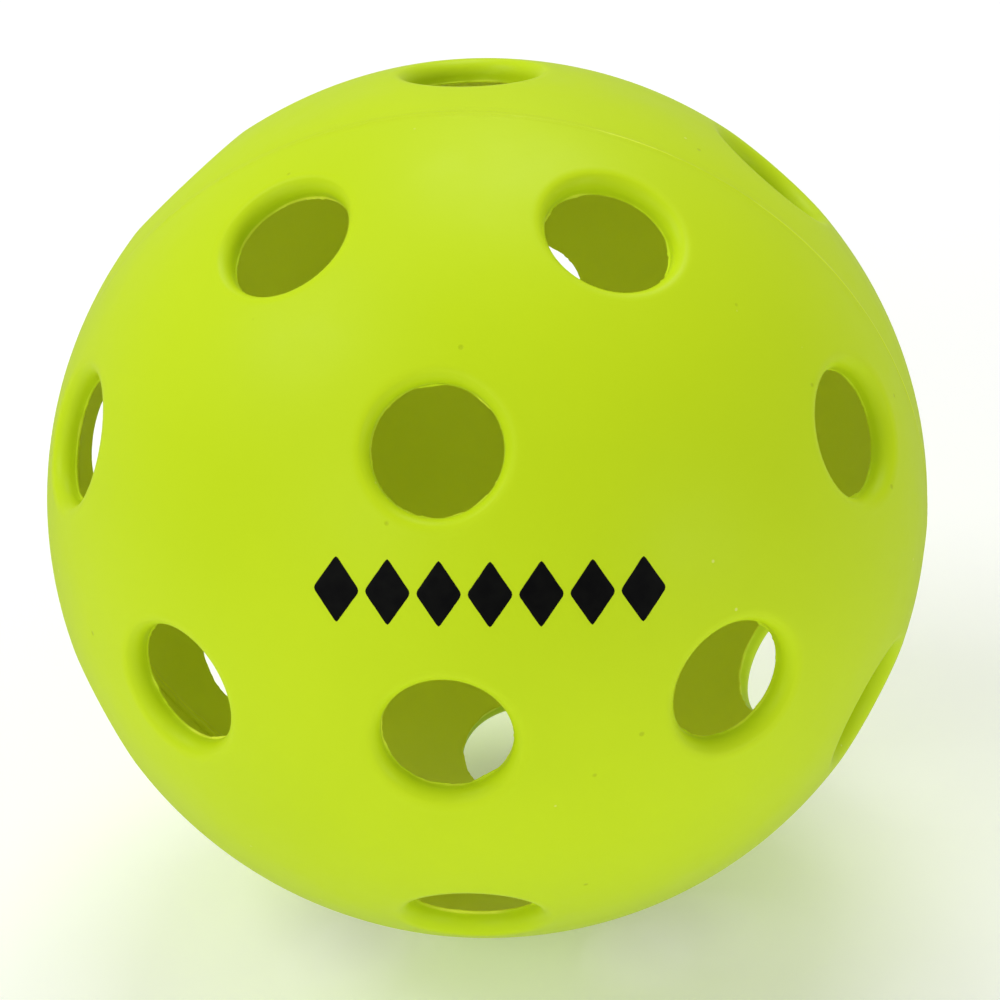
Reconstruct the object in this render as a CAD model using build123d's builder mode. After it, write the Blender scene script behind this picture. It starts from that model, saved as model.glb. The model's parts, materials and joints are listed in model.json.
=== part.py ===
from build123d import *
import os
from math import isclose, sqrt

# Indoor pickleball: two perforated half shells, moulded alike, welded rim to rim and
# printed with a plain mark.
#
# Frame: millimetres, +Z up, origin at the centre of the ball. The weld lies in the
# plane Y = 0. The front half bulges towards -Y and the rear half towards +Y.

# Ball and wall
ball_radius = 37.0
wall = 2.05
inner_radius = ball_radius - wall

# Air holes: each half has one on its pole, an inner ring of 4 and an outer ring of 8
hole_radius = 5.35
rim_fillet = 1.36
rim_tolerance = 0.001
inner_ring_tilt = 38.3
inner_ring_count = 4
outer_ring_tilt = 72.0
outer_ring_count = 8
outer_ring_turn = 180 / outer_ring_count
clear_meridian = 180 / inner_ring_count
rear_half_turn = -outer_ring_turn

# Weld: a thin web between the two rims, a fine ridge outside and a bead inside
weld_web = 0.40
weld_ridge_height = 0.06
weld_bead_height = 0.55
weld_bead_width = 1.50

# Printed mark: a band of diamonds beside the front pole
ink_thickness = 0.04
mark_tilt = 21.2
mark_turn = -18.4
mark_spin = -74.6
diamond_count = 7
diamond_width = 3.7
diamond_height = 5.5
diamond_pitch = 4.05

# Each dome plane has its Z on the half's pole and its X over the first inner-ring hole
front_dome = Plane(origin=(0, 0, 0), x_dir=(0, 0, 1), z_dir=(0, -1, 0))
rear_dome = Plane(origin=(0, 0, 0), x_dir=(0, 0, 1), z_dir=(0, 1, 0))
rear_dome = rear_dome.moved(Rotation(0, 0, rear_half_turn))


def tilted(dome, tilt, turn):
    """The dome plane with its Z leaned over by tilt, towards the azimuth turn."""
    return dome.moved(Rotation(0, 0, turn)).moved(Rotation(0, tilt, 0))


def hole_planes(dome):
    """A plane through the ball's centre for each air hole, with Z along the hole."""
    planes = [dome]
    for index in range(inner_ring_count):
        planes.append(tilted(dome, inner_ring_tilt, index * 360 / inner_ring_count))
    for index in range(outer_ring_count):
        turn = outer_ring_turn + index * 360 / outer_ring_count
        planes.append(tilted(dome, outer_ring_tilt, turn))
    return planes


def outer_rim(edges, hole):
    """The edges, of those given, where the air hole along this plane meets the outer skin."""
    rim_height = sqrt(ball_radius**2 - hole_radius**2)
    return [
        edge
        for edge in edges
        if isclose((edge @ 0.5).length, ball_radius, abs_tol=rim_tolerance)
        and isclose(hole.to_local_coords(edge @ 0.5).Z, rim_height, abs_tol=rim_tolerance)
    ]


def moulded_half(dome):
    """One moulding: half a shell, open at its rim, with 13 holes rounded outside."""
    # The profile stands on a meridian that meets no hole but the one on the pole
    meridian = dome.moved(Rotation(0, 0, clear_meridian)).moved(Rotation(90, 0, 0))
    rim = weld_web / 2
    outside = (sqrt(ball_radius**2 - rim**2), rim)
    inside = (sqrt(inner_radius**2 - rim**2), rim)
    with BuildPart() as half:
        with BuildSketch(meridian):
            with BuildLine():
                Line((0, inner_radius), (0, ball_radius))
                RadiusArc((0, ball_radius), outside, ball_radius)
                Line(outside, inside)
                RadiusArc(inside, (0, inner_radius), -inner_radius)
            make_face()
        revolve(axis=Axis((0, 0, 0), dome.z_dir))
        holes = hole_planes(dome)
        for hole in holes:
            with BuildSketch(hole.offset(inner_radius / 2)):
                Circle(hole_radius)
            extrude(amount=ball_radius, mode=Mode.SUBTRACT)
        rims = [edge for hole in holes for edge in outer_rim(half.edges(), hole)]
        fillet(rims, rim_fillet)
    return half


os.makedirs("parts", exist_ok=True)

# Front half: the moulding that carries the print
front_half = moulded_half(front_dome)
front_half.part.label = "front_half"
export_step(front_half.part, "parts/front_half.step")

# Rear half: the same moulding, flipped over and turned so that the holes stagger
rear_half = moulded_half(rear_dome)
rear_half.part.label = "rear_half"
export_step(rear_half.part, "parts/rear_half.step")

# Weld bead: the remelted plastic that fills the joint and stands a little proud of it
web_start = inner_radius - weld_bead_height / 2
web_end = ball_radius + weld_ridge_height
with BuildPart() as weld_bead:
    with BuildSketch(Plane.XY):
        with Locations((web_start, 0)):
            Rectangle(web_end - web_start, weld_web, align=(Align.MIN, Align.CENTER))
        with BuildSketch(mode=Mode.PRIVATE) as bead:
            with Locations((inner_radius, 0)):
                Ellipse(weld_bead_height, weld_bead_width / 2)
            Circle(inner_radius, mode=Mode.INTERSECT)
        add(bead.sketch)
    revolve(axis=Axis.Y)
weld_bead.part.label = "weld_bead"
export_step(weld_bead.part, "parts/weld_bead.step")

# Printed mark: a row of ink diamonds, curved to the ball
mark_plane = tilted(front_dome, mark_tilt, mark_turn).moved(Rotation(0, 0, mark_spin))
with BuildPart() as printed_mark:
    with BuildSketch(mark_plane.offset(inner_radius)):
        with GridLocations(diamond_pitch, 0, diamond_count, 1):
            Polygon(
                (diamond_width / 2, 0),
                (0, diamond_height / 2),
                (-diamond_width / 2, 0),
                (0, -diamond_height / 2),
            )
    extrude(amount=2 * wall)
    Sphere(ball_radius + ink_thickness, mode=Mode.INTERSECT)
    Sphere(ball_radius, mode=Mode.SUBTRACT)
printed_mark.part.label = "printed_mark"
export_step(printed_mark.part, "parts/printed_mark.step")
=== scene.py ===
# Looks of an indoor pickleball: two perforated half shells, their weld and the printed mark.
import json
import math
import random

import bmesh
import bpy
from mathutils import Matrix, Vector, noise
from mathutils.geometry import delaunay_2d_cdt


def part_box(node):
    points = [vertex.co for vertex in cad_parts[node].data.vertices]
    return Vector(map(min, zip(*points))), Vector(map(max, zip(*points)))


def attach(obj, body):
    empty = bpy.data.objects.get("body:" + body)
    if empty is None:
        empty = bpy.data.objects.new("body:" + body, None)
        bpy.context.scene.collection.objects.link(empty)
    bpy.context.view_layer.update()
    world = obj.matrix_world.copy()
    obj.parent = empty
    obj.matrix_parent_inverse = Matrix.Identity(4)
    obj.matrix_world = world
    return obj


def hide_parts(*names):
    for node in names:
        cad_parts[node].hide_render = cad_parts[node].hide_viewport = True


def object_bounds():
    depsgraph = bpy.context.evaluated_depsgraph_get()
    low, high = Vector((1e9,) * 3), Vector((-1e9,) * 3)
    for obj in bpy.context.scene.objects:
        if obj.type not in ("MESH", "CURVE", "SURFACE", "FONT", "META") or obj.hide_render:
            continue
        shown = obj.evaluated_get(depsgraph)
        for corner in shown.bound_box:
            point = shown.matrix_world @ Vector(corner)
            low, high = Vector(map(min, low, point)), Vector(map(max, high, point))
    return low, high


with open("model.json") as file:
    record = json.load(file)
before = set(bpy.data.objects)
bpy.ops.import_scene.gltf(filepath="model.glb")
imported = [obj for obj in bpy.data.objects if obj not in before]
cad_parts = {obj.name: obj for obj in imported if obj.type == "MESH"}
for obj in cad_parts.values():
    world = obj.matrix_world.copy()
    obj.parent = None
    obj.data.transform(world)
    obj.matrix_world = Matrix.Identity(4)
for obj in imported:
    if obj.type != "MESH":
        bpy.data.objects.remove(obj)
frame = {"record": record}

cad_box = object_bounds()

# ---------------------------------------------------------------------------------------
# Sizes, in metres. The ball, its holes and its weld are read from the frame.
# ---------------------------------------------------------------------------------------
MM = 0.001
pole_mount = next(m for m in frame["record"]["mounts"] if m["name"] == "front_pole_hole")
half_low, half_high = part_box("rear_half")
RIM_Y = half_low.y
BALL_RADIUS = math.hypot(half_high.x, RIM_Y)
HOLE_RADIUS = pole_mount["dims"]["r_mm"] * MM
BORE_MIDDLE = abs(pole_mount["pos_m"][1])
BORE_LENGTH = pole_mount["dims"]["length_mm"] * MM
BORE_START = BORE_MIDDLE - BORE_LENGTH / 2
BORE_END = BORE_MIDDLE + BORE_LENGTH / 2
INNER_RADIUS = math.hypot(BORE_START, HOLE_RADIUS)
# The rim's rounding meets the bore where its straight stretch ends, and touches the ball's skin
RIM_FILLET = (BALL_RADIUS**2 - HOLE_RADIUS**2 - BORE_END**2) / (2 * (BALL_RADIUS + HOLE_RADIUS))
weld_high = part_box("weld_bead")[1]
RIDGE_HEIGHT = weld_high.x - BALL_RADIUS
BEAD_HALF_WIDTH = weld_high.y

# Hole pattern of each half, in degrees from its pole and round it
INNER_RING_TILT = 38.3
INNER_RING_COUNT = 4
OUTER_RING_TILT = 72.0
OUTER_RING_COUNT = 8
HOLE_STAGGER = 180 / OUTER_RING_COUNT

# Printed mark
MARK_TILT = 21.2
MARK_TURN = -18.4
MARK_SPIN = -74.6
DIAMOND_COUNT = 7
DIAMOND_WIDTH = 3.7 * MM
DIAMOND_HEIGHT = 5.5 * MM
DIAMOND_PITCH = 4.05 * MM

# A hole's rounded rim is an arc set a little high, so it meets the outer skin at a soft crease
RIM_LIFT = 0.12 * MM
ARC_HEIGHT = BORE_END + RIM_LIFT
ARC_REACH = math.hypot(HOLE_RADIUS + RIM_FILLET, ARC_HEIGHT)
ARC_CROSSING = math.acos(
    (BALL_RADIUS**2 - ARC_REACH**2 - RIM_FILLET**2) / (2 * ARC_REACH * RIM_FILLET)
)
ARC_START = math.atan2(HOLE_RADIUS + RIM_FILLET, ARC_HEIGHT) - ARC_CROSSING

# How far the outer and the inner edge of a hole lean from its axis, seen from the ball's centre
RIM_LEAN = math.asin((HOLE_RADIUS + RIM_FILLET * (1 + math.sin(ARC_START))) / BALL_RADIUS)
INNER_LEAN = math.asin(HOLE_RADIUS / INNER_RADIUS)

# Mesh fineness: points round a hole and round the weld's edge, and spacing over the two skins
HOLE_STEPS = 120
RIM_STEPS = 420
OUTER_SPACING = 0.75 * MM
INNER_SPACING = 1.3 * MM

# Height of an equal-sided triangle over its side, and how near two points are when they merge
TRIANGLE_HEIGHT = 0.866
MERGE_DISTANCE = 1e-9


# ---------------------------------------------------------------------------------------
# Frames of the two halves and of the mark
# ---------------------------------------------------------------------------------------
def basis(x_axis, z_axis):
    """The matrix that takes local coordinates to the ball's, given the local X and Z axes."""
    y_axis = z_axis.cross(x_axis)
    return Matrix((x_axis, y_axis, z_axis)).transposed()


def turned(tilt, turn):
    """The rotation that leans local Z over by tilt, towards the azimuth turn."""
    lean = Matrix.Rotation(math.radians(tilt), 3, "Y")
    return Matrix.Rotation(math.radians(turn), 3, "Z") @ lean


front_dome = basis(Vector((0, 0, 1)), Vector((0, -1, 0)))
stagger = math.radians(HOLE_STAGGER)
rear_dome = basis(Vector((-math.sin(stagger), 0, math.cos(stagger))), Vector((0, 1, 0)))
mark_frame = front_dome @ turned(MARK_TILT, MARK_TURN) @ turned(0, MARK_SPIN)


def hole_axes():
    """The 13 hole directions of a half, in its own frame."""
    axes = [Vector((0, 0, 1))]
    for index in range(INNER_RING_COUNT):
        axes.append(turned(INNER_RING_TILT, index * 360 / INNER_RING_COUNT).col[2].copy())
    for index in range(OUTER_RING_COUNT):
        turn = HOLE_STAGGER + index * 360 / OUTER_RING_COUNT
        axes.append(turned(OUTER_RING_TILT, turn).col[2].copy())
    return axes


# ---------------------------------------------------------------------------------------
# Unevenness of the moulding
# ---------------------------------------------------------------------------------------
SINK_DEPTH = 0.05 * MM
SINK_SIZE = 11 * MM
RIPPLE_DEPTH = 0.008 * MM
RIPPLE_SIZE = 2.4 * MM
POLE_SINK = 0.05 * MM
POLE_SINK_POWER = 8


def sink(point):
    """How far the skin lies under the true sphere at a point.

    It is a shallow, wandering dip, deeper at the two poles.
    """
    broad = noise.noise(point / SINK_SIZE)
    fine = noise.noise(point / RIPPLE_SIZE)
    at_pole = POLE_SINK * (point.y / BALL_RADIUS) ** POLE_SINK_POWER
    return SINK_DEPTH * (0.5 + 0.5 * broad) + RIPPLE_DEPTH * (0.5 + 0.5 * fine) + at_pole


def settled(point):
    """The point moved in along its radius by the sink there."""
    return point * (1 - sink(point) / BALL_RADIUS)


# ---------------------------------------------------------------------------------------
# Half shells
# ---------------------------------------------------------------------------------------
# Moulding flash round a hole: straight knife cuts, with depths in mm, and what tears and nibs add
CUT_COUNTS = (5, 8)
CUT_DEPTHS = (0.05, 0.20)
CUT_REACH = 0.5
LEAST_FLASH = 0.015 * MM
TEAR_WIDTH = 0.08 * MM
TEAR_SCALE = 5
NIB_WIDTH = 0.20 * MM
NIB_SCALE = 15
NIB_THRESHOLD = 0.1

# The flash's section: share of its height above the inner edge, and share of its width
LIP_RISE = 0.24 * MM
LIP_SECTION = ((1.0, 0.0), (0.84, 0.12), (0.72, 0.75), (0.60, 1.0), (0.33, 0.95), (0.17, 0.8))

# Rings that line a hole: mm out over the outer skin, steps round the rim, and mm out over the
# inner skin with a share of the flash's width
OUTER_SKIRT = (2.3, 1.5, 0.9, 0.5, 0.2)
FILLET_STEPS = 16
FIRST_FILLET_STEP = 2
INNER_SKIRT = ((0.0, 0.25), (0.1, 0.0), (0.5, 0.0), (1.2, 0.0))

# The edge of a half at the weld: its rounded corner, and rings that lead to it
CORNER_ROUNDING = 0.10 * MM
CORNER_STEPS = 4
OUTER_EDGE_RINGS = (0.55 * MM, 0.25 * MM)
FACE_INSETS = (0.4 * MM, 0.3 * MM)
INNER_EDGE_RINGS = (0.4 * MM, 1.0 * MM)

# How far the skins' own points stay from those rings: at the weld, and in spacings at a hole
OUTER_EDGE_CLEAR = 1.0 * MM
INNER_EDGE_CLEAR = 1.9 * MM
HOLE_CLEAR = 0.6


def around(axis):
    """Two directions at right angles to an axis and to each other."""
    across = axis.orthogonal().normalized()
    return across, axis.cross(across)


def ring_points(axis, profile):
    """Points round an axis. profile(angle) gives the radius from the axis and the height."""
    across, along = around(axis)
    points = []
    for step in range(HOLE_STEPS):
        angle = 2 * math.pi * step / HOLE_STEPS
        radius, height = profile(angle)
        points.append(axis * height + (across * math.cos(angle) + along * math.sin(angle)) * radius)
    return points


def trimmed_flash(seed):
    """How far moulding flash, trimmed by straight knife cuts, narrows a hole at an angle."""
    rng = random.Random(seed)
    cuts = []
    for _ in range(rng.randint(*CUT_COUNTS)):
        cuts.append((rng.uniform(0, 2 * math.pi), rng.uniform(*CUT_DEPTHS) * MM))
    phase = rng.uniform(0, 100)

    def flash(angle):
        opening = HOLE_RADIUS - LEAST_FLASH
        for middle, depth in cuts:
            lean = math.cos(angle - middle)
            if lean > CUT_REACH:
                opening = min(opening, (HOLE_RADIUS - depth) / lean)
        place = Vector((math.cos(angle), math.sin(angle), 0))
        torn = noise.noise(place * TEAR_SCALE + Vector((0, 0, phase)))
        nibbed = noise.noise(place * NIB_SCALE + Vector((0, phase, 0))) - NIB_THRESHOLD
        extra = max(0.0, torn) * TEAR_WIDTH + max(0.0, nibbed) * NIB_WIDTH
        return HOLE_RADIUS - opening + extra

    return flash


def hole_profiles(seed):
    """The rings that line one hole, from the outer skin to the inner skin."""
    flash = trimmed_flash(seed)
    profiles = []

    # Over the outer skin towards the rim
    for extra in OUTER_SKIRT:
        angle = RIM_LEAN + extra * MM / BALL_RADIUS
        profiles.append(lambda _, a=angle: (BALL_RADIUS * math.sin(a), BALL_RADIUS * math.cos(a)))

    # Round the rim and down to the bore. The crease has no ring of its own, which keeps it soft.
    for step in range(FIRST_FILLET_STEP, FILLET_STEPS + 1):
        swing = ARC_START - (ARC_START + math.pi / 2) * step / FILLET_STEPS
        radius = HOLE_RADIUS + RIM_FILLET * (1 + math.sin(swing))
        height = ARC_HEIGHT + RIM_FILLET * math.cos(swing)
        profiles.append(lambda _, r=radius, h=height: (r, h))

    # The flash: a thin lip just above the inner edge
    for share_up, share in LIP_SECTION:
        height = BORE_START + share_up * LIP_RISE
        profiles.append(lambda a, s=share, h=height: (HOLE_RADIUS - s * flash(a), h))

    # The inner edge and out over the inner skin
    for extra, share in INNER_SKIRT:
        angle = INNER_LEAN + extra * MM / INNER_RADIUS
        radius = INNER_RADIUS * math.sin(angle)
        height = INNER_RADIUS * math.cos(angle)
        profiles.append(lambda a, s=share, r=radius, h=height: (r - s * flash(a), h))
    return profiles


def flat(point):
    """A point of the sphere on a plane, by stereographic projection from the far pole."""
    unit = point.normalized()
    return Vector((unit.x, unit.y)) / (1 + unit.z)


def evenly_spread(radius, spacing):
    """Points spread evenly over a dome, on a golden spiral."""
    count = int(2 * math.pi * radius**2 / (TRIANGLE_HEIGHT * spacing**2))
    golden = math.pi * (3 - math.sqrt(5))
    points = []
    for index in range(count):
        z = 1 - (index + 0.5) / count
        reach = math.sqrt(1 - z * z)
        turn = golden * index
        points.append(Vector((reach * math.cos(turn), reach * math.sin(turn), z)) * radius)
    return points


def skin_faces(vertices, loops, radius, spacing, axes, clear_angle, clear_rim):
    """Fills the skin between the given loops of vertices with evenly spread triangles.

    vertices grows by the points added. Each loop is a list of vertex indices: the edge of
    a hole, or last, the edge at the weld.
    """
    loop_of = {}
    edges = []
    for number, loop in enumerate(loops):
        for index, vertex in enumerate(loop):
            loop_of[vertex] = number
            edges.append((vertex, loop[(index + 1) % len(loop)]))
    used = list(loop_of)
    clear = math.cos(clear_angle)
    for point in evenly_spread(radius, spacing):
        unit = point / radius
        if point.z < clear_rim or any(unit.dot(axis) > clear for axis in axes):
            continue
        used.append(len(vertices))
        vertices.append(point)
    place = {vertex: index for index, vertex in enumerate(used)}
    flat_points = [flat(vertices[vertex]) for vertex in used]
    flat_edges = [(place[a], place[b]) for a, b in edges]
    made = delaunay_2d_cdt(flat_points, flat_edges, [], 0, MERGE_DISTANCE)
    triangles, origins_of = made[2], made[3]
    source = [used[origins[0]] for origins in origins_of]
    rim = len(loops) - 1
    faces = []
    for triangle in triangles:
        corners = [source[corner] for corner in triangle]
        owners = {loop_of.get(corner, -1) for corner in corners}
        inside_a_hole = len(owners) == 1 and owners != {-1} and owners != {rim}
        if not inside_a_hole:
            faces.append(corners)
    return faces


def strip(faces, upper, lower):
    """Adds the quads between two loops of the same length."""
    count = len(upper)
    for index in range(count):
        after = (index + 1) % count
        faces.append((upper[index], upper[after], lower[after], lower[index]))


def ring_of_sphere(radius, height):
    """Radius and height of the ring at a height on a sphere."""
    return math.sqrt(radius**2 - height**2), height


def rim_profiles():
    """Radius and height of the rings at the weld, from the outer skin to the inner skin."""
    outer = [ring_of_sphere(BALL_RADIUS, RIM_Y + up) for up in OUTER_EDGE_RINGS]
    corner = []
    for step in range(CORNER_STEPS + 1):
        swing = math.pi / 2 * step / CORNER_STEPS
        radius = BALL_RADIUS - CORNER_ROUNDING * (1 - math.cos(swing))
        corner.append((radius, RIM_Y + CORNER_ROUNDING * (1 - math.sin(swing))))
    face = [
        (BALL_RADIUS - FACE_INSETS[0], RIM_Y),
        (INNER_RADIUS + FACE_INSETS[1], RIM_Y),
        (INNER_RADIUS, RIM_Y),
    ]
    inner = [ring_of_sphere(INNER_RADIUS, RIM_Y + up) for up in INNER_EDGE_RINGS]
    return outer + corner + face + inner


def add_loop(vertices, points):
    """Appends points and returns their indices."""
    start = len(vertices)
    vertices.extend(points)
    return list(range(start, len(vertices)))


def half_shell(name, dome, seed):
    """One moulding, with its 13 lined holes, as a closed mesh."""
    axes = hole_axes()
    vertices = []
    faces = []
    outer_loops = []
    inner_loops = []
    for number, axis in enumerate(axes):
        loops = [
            add_loop(vertices, ring_points(axis, profile))
            for profile in hole_profiles(seed + number)
        ]
        for upper, lower in zip(loops, loops[1:]):
            strip(faces, upper, lower)
        outer_loops.append(loops[0])
        inner_loops.append(loops[-1])

    loops = []
    for radius, height in rim_profiles():
        points = []
        for step in range(RIM_STEPS):
            angle = 2 * math.pi * step / RIM_STEPS
            points.append(Vector((radius * math.cos(angle), radius * math.sin(angle), height)))
        loops.append(add_loop(vertices, points))
    for upper, lower in zip(loops, loops[1:]):
        strip(faces, upper, lower)
    outer_loops.append(loops[0])
    inner_loops.append(loops[-1])

    outer_skirt = OUTER_SKIRT[0] * MM
    outer_clear = RIM_LEAN + (outer_skirt + HOLE_CLEAR * OUTER_SPACING) / BALL_RADIUS
    outer_edge = RIM_Y + OUTER_EDGE_CLEAR
    faces += skin_faces(
        vertices, outer_loops, BALL_RADIUS, OUTER_SPACING, axes, outer_clear, outer_edge
    )
    inner_skirt = INNER_SKIRT[-1][0] * MM
    inner_clear = INNER_LEAN + (inner_skirt + HOLE_CLEAR * INNER_SPACING) / INNER_RADIUS
    inner_edge = RIM_Y + INNER_EDGE_CLEAR
    faces += skin_faces(
        vertices, inner_loops, INNER_RADIUS, INNER_SPACING, axes, inner_clear, inner_edge
    )
    placed = [settled(dome @ vertex) for vertex in vertices]
    return mesh_object(name, placed, faces)


def mesh_object(name, vertices, faces):
    """A smooth-shaded object from vertices and faces, with its normals facing out."""
    mesh = bpy.data.meshes.new(name)
    mesh.from_pydata([tuple(vertex) for vertex in vertices], [], faces)
    shape = bmesh.new()
    shape.from_mesh(mesh)
    bmesh.ops.recalc_face_normals(shape, faces=shape.faces)
    shape.to_mesh(mesh)
    shape.free()
    mesh.shade_smooth()
    piece = bpy.data.objects.new(name, mesh)
    bpy.context.scene.collection.objects.link(piece)
    return piece


# ---------------------------------------------------------------------------------------
# Weld
# ---------------------------------------------------------------------------------------
# Steps round the weld, and across its cover and its bead
TURN_STEPS = 720
COVER_STEPS = 16
BEAD_STEPS = 14

# The cover: remelted plastic that laps over the rounded edges of the two rims. Half its width,
# its lift over the skin, and how it is rooted in the plastic under it.
WELD_COVER = RIM_Y + 0.13 * MM
COVER_LIFT = 0.003 * MM
COVER_ROOT = 0.06 * MM
COVER_LAP = 0.02 * MM
WEB_ROOT = 0.5 * MM

# Where the ridge on the cover stands: it is proud on the side towards a direction, in degrees,
# fades unevenly to both sides, and is dressed flush on the far side
RIDGE_DIRECTION = 14
RIDGE_FADE = 2.6
RIDGE_END = 0.30
FADE_WANDER = 0.5
FADE_SCALE = 6

# The ridge itself: its size, how it wanders across the weld, and how its height swells and ripples
RIDGE_TOP = 0.85 * RIDGE_HEIGHT
RIDGE_WIDTH = 0.10 * MM
RIDGE_WANDER = 0.03 * MM
WANDER_SCALE = 23
LEAST_RIDGE = 0.25
MEAN_RIDGE = 0.7
RIDGE_SWELL = 0.5
SWELL_SCALE = 9
RIDGE_RIPPLE = 0.3
RIPPLE_SCALE = 60

# The bead inside, with a groove along its middle
BEAD_WIDTH = 0.85
BEAD_WIDTH_CHANGE = 0.12
BEAD_WIDTH_SCALE = 17
BEAD_HEIGHT = 0.45 * MM
BEAD_LUMPS = 0.2
LUMP_SCALE = 31
BEAD_ROUNDNESS = 0.8
BEAD_ROOT = 0.05 * MM
GROOVE_DEPTH = 0.16 * MM
GROOVE_WIDTH = 0.18 * MM


def ridge_presence(angle, outward):
    """How much of the outer ridge is left at an angle round the weld: 1 proud, 0 dressed flush."""
    facing = math.cos(angle - math.radians(RIDGE_DIRECTION))
    kept = RIDGE_FADE * (facing - RIDGE_END) + FADE_WANDER * noise.noise(outward * FADE_SCALE)
    return min(1.0, max(0.0, kept))


def cover_section(angle, outward):
    """The weld's outer section at an angle, as radius and place across it."""
    swell = RIDGE_SWELL * noise.noise(outward * SWELL_SCALE)
    ripple = RIDGE_RIPPLE * noise.noise(outward * RIPPLE_SCALE)
    unevenness = min(1.0, max(LEAST_RIDGE, MEAN_RIDGE + swell + ripple))
    ridge_top = RIDGE_TOP * ridge_presence(angle, outward) * unevenness
    shift = RIDGE_WANDER * noise.noise(outward * WANDER_SCALE)
    skin = BALL_RADIUS - sink(outward * BALL_RADIUS)
    lap = WELD_COVER + COVER_LAP
    section = [(BALL_RADIUS - WEB_ROOT, -RIM_Y), (skin - COVER_ROOT, -lap)]
    for index in range(COVER_STEPS + 1):
        across = WELD_COVER * (2 * index / COVER_STEPS - 1)
        crest = math.exp(-(((across - shift) / RIDGE_WIDTH) ** 2))
        drop = BALL_RADIUS - math.sqrt(BALL_RADIUS**2 - across**2)
        section.append((skin - drop + COVER_LIFT + ridge_top * crest, across))
    return section + [(skin - COVER_ROOT, lap), (BALL_RADIUS - WEB_ROOT, RIM_Y)]


def bead_section(outward):
    """The weld's inner section in a direction: a lumpy, grooved bead."""
    change = BEAD_WIDTH_CHANGE * noise.noise(outward * BEAD_WIDTH_SCALE)
    half_width = BEAD_HALF_WIDTH * (BEAD_WIDTH + change)
    rise = BEAD_HEIGHT * (1 + BEAD_LUMPS * noise.noise(outward * LUMP_SCALE))
    section = []
    for index in range(BEAD_STEPS + 1):
        swing = math.pi * index / BEAD_STEPS
        across = math.cos(swing) * half_width
        groove = GROOVE_DEPTH * math.exp(-((across / GROOVE_WIDTH) ** 2))
        height = rise * math.sin(swing) ** BEAD_ROUNDNESS - groove
        section.append((INNER_RADIUS + BEAD_ROOT - height, across))
    return section


def weld_ring(name):
    """The weld: a fine uneven ridge outside, a web between the rims, a lumpy bead inside."""
    vertices = []
    loops = []
    for step in range(TURN_STEPS):
        angle = 2 * math.pi * step / TURN_STEPS
        outward = Vector((math.cos(angle), 0, math.sin(angle)))
        section = cover_section(angle, outward) + bead_section(outward)
        points = [outward * radius + Vector((0, across, 0)) for radius, across in section]
        loops.append(add_loop(vertices, points))
    faces = []
    for index, loop in enumerate(loops):
        strip(faces, loop, loops[(index + 1) % TURN_STEPS])
    return mesh_object(name, vertices, faces)


# ---------------------------------------------------------------------------------------
# Printed mark
# ---------------------------------------------------------------------------------------
# The ink's height over the skin, and how far its foot goes under the skin
INK_PROUD = 0.018 * MM
INK_ROOT = 0.03 * MM

# The edge of a diamond: points along a side, softened corners and jitter
SIDE_STEPS = 26
CORNER_SOFTENING = 0.10 * MM
CORNER_SHARE = 1 / 12
EDGE_JITTER = 0.018 * MM
JITTER_SIZE = 0.6 * MM

# The top: its rounded shoulder, and a grid of points that stays inside it
SHOULDER_INSET = 0.975
SHOULDER_HEIGHT = 0.6
INK_GRID = 0.4 * MM
GRID_COLUMNS = 5
GRID_ROWS = 8
GRID_REACH = 0.43


def diamond_outline(centre_x, number):
    """A diamond's edge, with corners a little soft and the edge a little unsteady."""
    corners = [
        Vector((DIAMOND_WIDTH / 2, 0)),
        Vector((0, DIAMOND_HEIGHT / 2)),
        Vector((-DIAMOND_WIDTH / 2, 0)),
        Vector((0, -DIAMOND_HEIGHT / 2)),
    ]
    points = []
    for index, corner in enumerate(corners):
        after = corners[(index + 1) % len(corners)]
        for step in range(SIDE_STEPS):
            share = step / SIDE_STEPS
            near_corner = max(0.0, 1 - min(share, 1 - share) / CORNER_SHARE)
            point = corner.lerp(after, share)
            point = point - point.normalized() * CORNER_SOFTENING * near_corner
            unsteady = noise.noise(Vector((point.x, point.y, number * MM)) / JITTER_SIZE)
            point = point + point.normalized() * EDGE_JITTER * unsteady
            points.append(Vector((centre_x + point.x, point.y)))
    return points


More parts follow.
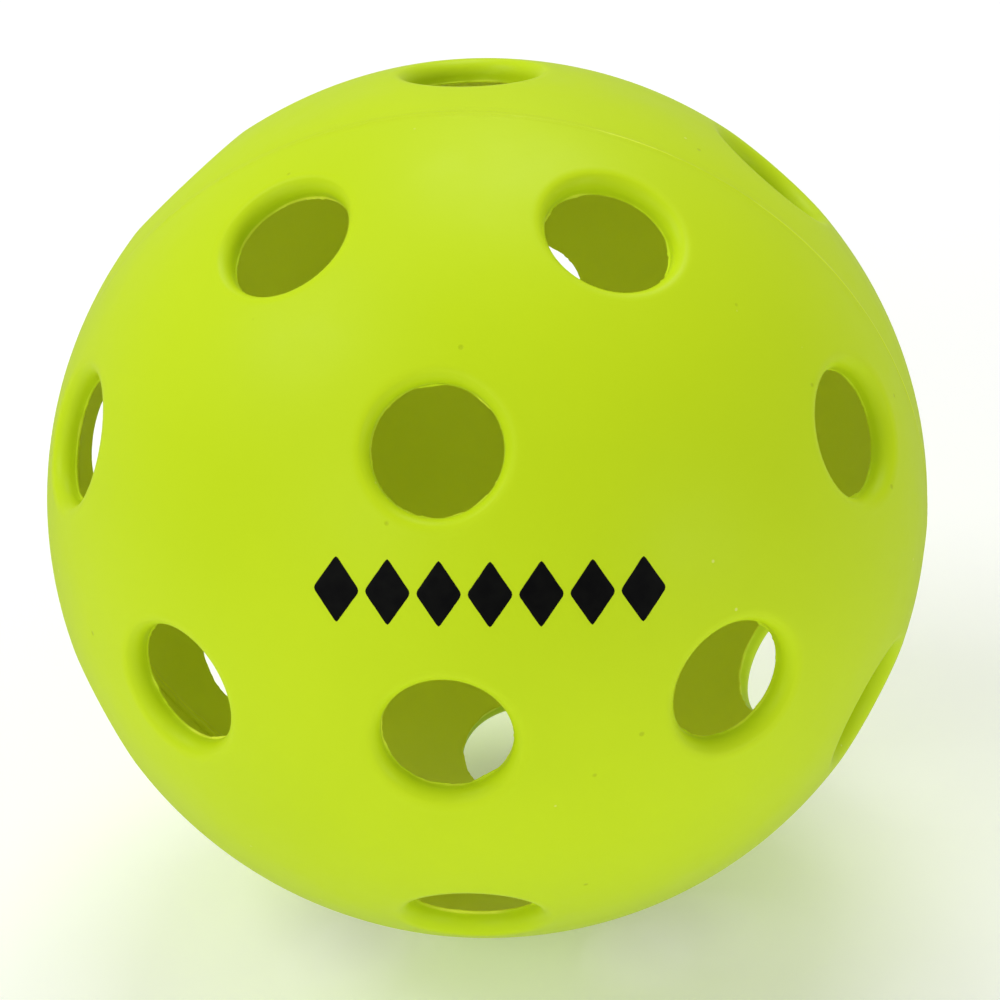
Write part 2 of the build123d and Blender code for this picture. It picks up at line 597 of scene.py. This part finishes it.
def ink_film(name):
    """The mark: seven thin diamonds of ink that follow the skin of the front half."""
    vertices = []
    faces = []
    for number in range(DIAMOND_COUNT):
        centre_x = (number - (DIAMOND_COUNT - 1) / 2) * DIAMOND_PITCH
        outline = diamond_outline(centre_x, number)
        centre = Vector((centre_x, 0))
        flat_points = [centre.lerp(point, SHOULDER_INSET) for point in outline]
        for column in range(-GRID_COLUMNS, GRID_COLUMNS + 1):
            for row in range(-GRID_ROWS, GRID_ROWS + 1):
                x = (column + (row % 2) / 2) * INK_GRID
                y = row * INK_GRID * TRIANGLE_HEIGHT
                if abs(x) / DIAMOND_WIDTH + abs(y) / DIAMOND_HEIGHT < GRID_REACH:
                    flat_points.append(Vector((x, y)) + centre)
        count = len(outline)
        edges = [(index, (index + 1) % count) for index in range(count)]
        made = delaunay_2d_cdt(flat_points, edges, [], 1, MERGE_DISTANCE)
        triangles, origins_of = made[2], made[3]
        source = [origins[0] for origins in origins_of]
        shoulder = INK_PROUD * SHOULDER_HEIGHT
        top = add_loop(vertices, [on_skin(point, INK_PROUD) for point in flat_points])
        edge = add_loop(vertices, [on_skin(point, shoulder) for point in outline])
        root = add_loop(vertices, [on_skin(point, -INK_ROOT) for point in flat_points])
        root_edge = add_loop(vertices, [on_skin(point, -INK_ROOT) for point in outline])
        for triangle in triangles:
            corners = [source[corner] for corner in triangle]
            faces.append([top[corner] for corner in corners])
            faces.append([root[corner] for corner in reversed(corners)])
        strip(faces, top[:count], edge)
        strip(faces, edge, root_edge)
        strip(faces, root_edge, root[:count])
    return mesh_object(name, vertices, faces)


def on_skin(point, height):
    """A point of the mark's plane, carried straight down onto the skin and raised."""
    depth = math.sqrt(BALL_RADIUS**2 - point.length_squared)
    placed = settled(mark_frame @ Vector((point.x, point.y, depth)))
    return placed + placed.normalized() * height


# ---------------------------------------------------------------------------------------
# Materials
# ---------------------------------------------------------------------------------------
# The plastic's colours: two of the body, then pits and dust, then paler colours that paint light:
# light let through the thin flash, a highlight along the weld ridge, and light let through the
# walls onto the inner skin
LIME = (0.625, 0.83, 0.009, 1)
DEEP_LIME = (0.605, 0.81, 0.008, 1)
PIT_LIME = (0.40, 0.52, 0.006, 1)
DUST_LIME = (0.86, 0.94, 0.30, 1)
FLASH_PAINTED_GLOW = (0.82, 0.96, 0.055, 1)
RIDGE_PAINTED_HIGHLIGHT = (0.77, 0.97, 0.050, 1)
INNER_LIME_PAINTED_GLOW = (0.81, 0.89, 0.055, 1)

BLACK_INK = (0.0012, 0.0012, 0.0014, 1)
WORN_INK = (0.0032, 0.0034, 0.0028, 1)
PALE_FLOOR = (0.93, 0.93, 0.93, 1)
PALER_FLOOR = (0.95, 0.95, 0.95, 1)
WHITE = (1, 1, 1, 1)


class Nodes:
    """A small helper that adds and links shader nodes of one material."""

    def __init__(self, name):
        self.material = bpy.data.materials.new(name)
        self.material.use_nodes = True
        self.tree = self.material.node_tree
        self.shader = self.tree.nodes["Principled BSDF"]
        self.coords = self.add("ShaderNodeTexCoord").outputs["Object"]

    def add(self, kind, **settings):
        node = self.tree.nodes.new(kind)
        for key, value in settings.items():
            setattr(node, key, value)
        return node

    def link(self, output, target):
        self.tree.links.new(output, target)

    def noise(self, scale, detail=3.0, roughness=0.5):
        node = self.add("ShaderNodeTexNoise")
        node.inputs["Scale"].default_value = scale
        node.inputs["Detail"].default_value = detail
        node.inputs["Roughness"].default_value = roughness
        self.link(self.coords, node.inputs["Vector"])
        return node.outputs["Fac"]

    def spots(self, scale):
        node = self.add("ShaderNodeTexVoronoi")
        node.inputs["Scale"].default_value = scale
        self.link(self.coords, node.inputs["Vector"])
        return node

    def map_range(self, value, low, high, to_low, to_high):
        node = self.add("ShaderNodeMapRange")
        self.link(value, node.inputs["Value"])
        node.inputs["From Min"].default_value = low
        node.inputs["From Max"].default_value = high
        node.inputs["To Min"].default_value = to_low
        node.inputs["To Max"].default_value = to_high
        return node.outputs["Result"]

    def math(self, operation, first, second):
        node = self.add("ShaderNodeMath", operation=operation)
        for socket, value in zip(node.inputs, (first, second)):
            if isinstance(value, (int, float)):
                socket.default_value = value
            else:
                self.link(value, socket)
        return node.outputs["Value"]

    def mix(self, factor, first, second):
        node = self.add("ShaderNodeMix", data_type="RGBA")
        self.link(factor, node.inputs["Factor"])
        colour_inputs = [socket for socket in node.inputs if socket.type == "RGBA"]
        for socket, value in zip(colour_inputs, (first, second)):
            if isinstance(value, tuple):
                socket.default_value = value
            else:
                self.link(value, socket)
        return next(socket for socket in node.outputs if socket.type == "RGBA")

    def bump(self, height, distance, strength=1.0, normal=None):
        node = self.add("ShaderNodeBump")
        node.inputs["Strength"].default_value = strength
        node.inputs["Distance"].default_value = distance
        self.link(height, node.inputs["Height"])
        if normal is not None:
            self.link(normal, node.inputs["Normal"])
        return node.outputs["Normal"]

    def set(self, **values):
        for key, value in values.items():
            self.shader.inputs[key.replace("_", " ")].default_value = value


def sparse_specks(nodes, scale, share, size):
    """A mask of small round specks in a share of the cells of a Voronoi texture."""
    cells = nodes.spots(scale)
    near = nodes.map_range(cells.outputs["Distance"], size, size * 0.5, 0, 1)
    picked = nodes.add("ShaderNodeSeparateColor")
    nodes.link(cells.outputs["Color"], picked.inputs["Color"])
    chosen = nodes.math("LESS_THAN", picked.outputs["Red"], share)
    return nodes.math("MULTIPLY", near, chosen)


def moulded_polyethylene(name, roughness):
    """Satin moulded polyethylene, with its marks of moulding, trimming and welding, and painted
    light: paler colours on the flash, the weld's ridge and the inner skin.

    The distance from the ball's centre tells the inner skin, the thin flash just above it,
    the outer skin and the weld's ridge, which stands above the sphere, from each other.
    """
    nodes = Nodes(name)

    # Outer skin: faint colour drift, a few pits and a little dust
    drift = nodes.map_range(nodes.noise(55, 3), 0.3, 0.7, 0, 1)
    body = nodes.mix(drift, LIME, DEEP_LIME)
    pits = sparse_specks(nodes, 520, 0.04, 0.14)
    pitted_body = nodes.mix(nodes.math("MULTIPLY", pits, 0.5), body, PIT_LIME)
    dust = sparse_specks(nodes, 610, 0.03, 0.10)
    outer = nodes.mix(nodes.math("MULTIPLY", dust, 0.6), pitted_body, DUST_LIME)

    # Painted light. The thin flash just above the inner edge gets a paler colour in stretches,
    # which paints light let through it
    distance = nodes.add("ShaderNodeVectorMath", operation="LENGTH")
    nodes.link(nodes.coords, distance.inputs["Vector"])
    depth = distance.outputs["Value"]
    flash_band_painted_glow = nodes.map_range(depth, INNER_RADIUS + 0.25 * MM, INNER_RADIUS + 0.32 * MM, 1, 0)
    painted_glow_stretches = nodes.map_range(nodes.noise(170, 2), 0.47, 0.60, 0.05, 1)
    skin = nodes.mix(nodes.math("MULTIPLY", flash_band_painted_glow, painted_glow_stretches), outer, FLASH_PAINTED_GLOW)
    # Painted highlight: the weld's ridge gets a paler colour, which paints a bright line of light
    # along its crest
    ridge_painted_highlight = nodes.map_range(depth, BALL_RADIUS - 0.006 * MM, BALL_RADIUS + 0.006 * MM, 0, 1)
    skin_with_painted_highlight = nodes.mix(ridge_painted_highlight, skin, RIDGE_PAINTED_HIGHLIGHT)
    # Painted glow: the inner skin gets a paler colour, which paints light let through the thin
    # walls into the ball
    inner_painted_glow = nodes.map_range(depth, INNER_RADIUS + 0.01 * MM, INNER_RADIUS + 0.04 * MM, 1, 0)
    colour = nodes.mix(inner_painted_glow, skin_with_painted_highlight, INNER_LIME_PAINTED_GLOW)
    nodes.link(colour, nodes.shader.inputs["Base Color"])

    smears = nodes.noise(140, 4, 0.6)
    satin = nodes.map_range(smears, 0.3, 0.7, roughness - 0.05, roughness + 0.06)
    nodes.link(satin, nodes.shader.inputs["Roughness"])

    # Relief: fine grain, orange peel and the pits
    grain = nodes.bump(nodes.noise(2600, 2), 0.000012, 0.5)
    orange_peel = nodes.bump(nodes.noise(420, 2), 0.00003, 0.35, grain)
    pitted = nodes.bump(nodes.math("SUBTRACT", 1.0, pits), 0.00004, 0.6, orange_peel)

    # Relief: patches of scuffing beside the weld, where the flash was dressed off
    position = nodes.add("ShaderNodeSeparateXYZ")
    nodes.link(nodes.coords, position.inputs["Vector"])
    from_weld = nodes.math("ABSOLUTE", position.outputs["Y"], 0.0)
    beside_weld = nodes.map_range(from_weld, 0.25 * MM, 1.1 * MM, 1, 0)
    patches = nodes.map_range(nodes.noise(90, 3), 0.45, 0.58, 0, 1)
    scuffed_places = nodes.math("MULTIPLY", beside_weld, patches)
    scuffs = nodes.math("MULTIPLY", scuffed_places, nodes.noise(1300, 3))
    scuffed = nodes.bump(scuffs, 0.00010, 0.7, pitted)
    nodes.link(scuffed, nodes.shader.inputs["Normal"])

    nodes.set(IOR=1.5, Specular_IOR_Level=0.15, Subsurface_Weight=0.10, Subsurface_Scale=0.0007)
    nodes.shader.inputs["Subsurface Radius"].default_value = (0.9, 1.0, 0.15)
    return nodes.material


def pad_ink(name):
    """Matte black pad-printing ink, with worn patches and a faint tooth."""
    nodes = Nodes(name)
    patch = nodes.map_range(nodes.noise(900, 3), 0.35, 0.65, 0, 1)
    nodes.link(nodes.mix(patch, BLACK_INK, WORN_INK), nodes.shader.inputs["Base Color"])
    sheen = nodes.map_range(nodes.noise(500, 3), 0.3, 0.7, 0.48, 0.6)
    nodes.link(sheen, nodes.shader.inputs["Roughness"])
    tooth = nodes.bump(nodes.noise(3200, 2), 0.00001, 0.4)
    nodes.link(tooth, nodes.shader.inputs["Normal"])
    nodes.set(IOR=1.45, Specular_IOR_Level=0.10)
    return nodes.material


def studio_floor(name):
    """Plain pale floor, barely mottled."""
    nodes = Nodes(name)
    mottle = nodes.noise(6, 2)
    nodes.link(nodes.mix(mottle, PALE_FLOOR, PALER_FLOOR), nodes.shader.inputs["Base Color"])
    nodes.set(Roughness=0.9, Emission_Strength=0.16, Emission_Color=WHITE)
    return nodes.material


# ---------------------------------------------------------------------------------------
# The pieces
# ---------------------------------------------------------------------------------------
def stand_in(piece, node, material):
    """Gives a piece its material, and lets it stand for a CAD node of the one body."""
    piece.data.materials.append(material)
    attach(piece, "root")
    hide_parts(node)


shell_plastic = moulded_polyethylene("shell_polyethylene", roughness=0.42)
weld_plastic = moulded_polyethylene("weld_polyethylene", roughness=0.36)
front_shell = half_shell("front_half_shell", front_dome, seed=100)
stand_in(front_shell, "front_half", shell_plastic)
rear_shell = half_shell("rear_half_shell", rear_dome, seed=200)
stand_in(rear_shell, "rear_half", shell_plastic)
stand_in(weld_ring("weld_ring"), "weld_bead", weld_plastic)
stand_in(ink_film("mark_ink"), "printed_mark", pad_ink("mark_ink"))


# ---------------------------------------------------------------------------------------
# Floor, light and camera
# ---------------------------------------------------------------------------------------
FLOOR_REACH = 3.0
SKY_STRENGTH = 0.38

# Each softbox has a name, a place and a side in metres, and a power in watts
SOFTBOXES = (
    ("key_softbox", (-0.80, -0.10, 1.03), 0.6, 4.5),
    ("top_softbox", (0.10, 0.69, 1.10), 0.7, 6.3),
    ("right_softbox", (1.08, -0.66, 0.15), 0.35, 1.7),
    ("front_softbox", (-0.55, -1.05, 0.55), 0.7, 2.9),
)

# The camera's place, in ball radii and degrees, and its lens in mm
CAMERA_DISTANCE = 14.77 * BALL_RADIUS
CAMERA_AZIMUTH = 7.6
CAMERA_ELEVATION = 31.93
CAMERA_ROLL = -4.5
CAMERA_LENS = 233.7
CAMERA_SHIFT = (0.0128, -0.0019)


def floor():
    """A wide pale floor that the ball rests on."""
    low = cad_box[0].z
    sides = ((-1, -1), (1, -1), (1, 1), (-1, 1))
    corners = [(x * FLOOR_REACH, y * FLOOR_REACH, low) for x, y in sides]
    mesh = bpy.data.meshes.new("floor")
    mesh.from_pydata(corners, [], [(0, 1, 2, 3)])
    ground = bpy.data.objects.new("floor", mesh)
    bpy.context.scene.collection.objects.link(ground)
    mesh.materials.append(studio_floor("studio_floor"))
    # The ball's gloss mirrors the studio and not the bright floor, which would whiten its edge
    ground.visible_glossy = False


def area_light(name, place, side, power):
    """A soft square white light aimed at the ball."""
    data = bpy.data.lights.new(name, "AREA")
    data.shape = "SQUARE"
    data.size = side
    data.energy = power
    lamp = bpy.data.objects.new(name, data)
    lamp.location = place
    lamp.rotation_euler = (-Vector(place)).to_track_quat("-Z", "Y").to_euler()
    bpy.context.scene.collection.objects.link(lamp)


def sky(strength):
    """Even white light from all round."""
    world = bpy.data.worlds.new("studio")
    world.use_nodes = True
    background = world.node_tree.nodes["Background"]
    background.inputs["Color"].default_value = WHITE
    background.inputs["Strength"].default_value = strength
    bpy.context.scene.world = world


def camera():
    """A long lens above the front, a little to the right and slightly rolled."""
    azimuth = math.radians(CAMERA_AZIMUTH)
    elevation = math.radians(CAMERA_ELEVATION)
    back = Vector((
        math.sin(azimuth) * math.cos(elevation),
        -math.cos(azimuth) * math.cos(elevation),
        math.sin(elevation),
    ))
    right = Vector((math.cos(azimuth), math.sin(azimuth), 0))
    upright = basis(right, back)
    roll = Matrix.Rotation(math.radians(CAMERA_ROLL), 3, "Z")
    data = bpy.data.cameras.new("camera")
    data.lens = CAMERA_LENS
    data.shift_x, data.shift_y = CAMERA_SHIFT
    data.clip_start = 0.01
    data.clip_end = 20
    eye = bpy.data.objects.new("camera", data)
    eye.matrix_world = Matrix.Translation(back * CAMERA_DISTANCE) @ (upright @ roll).to_4x4()
    bpy.context.scene.collection.objects.link(eye)
    bpy.context.scene.camera = eye


floor()
sky(SKY_STRENGTH)
for softbox in SOFTBOXES:
    area_light(*softbox)
camera()
bpy.context.scene.view_settings.view_transform = "Standard"
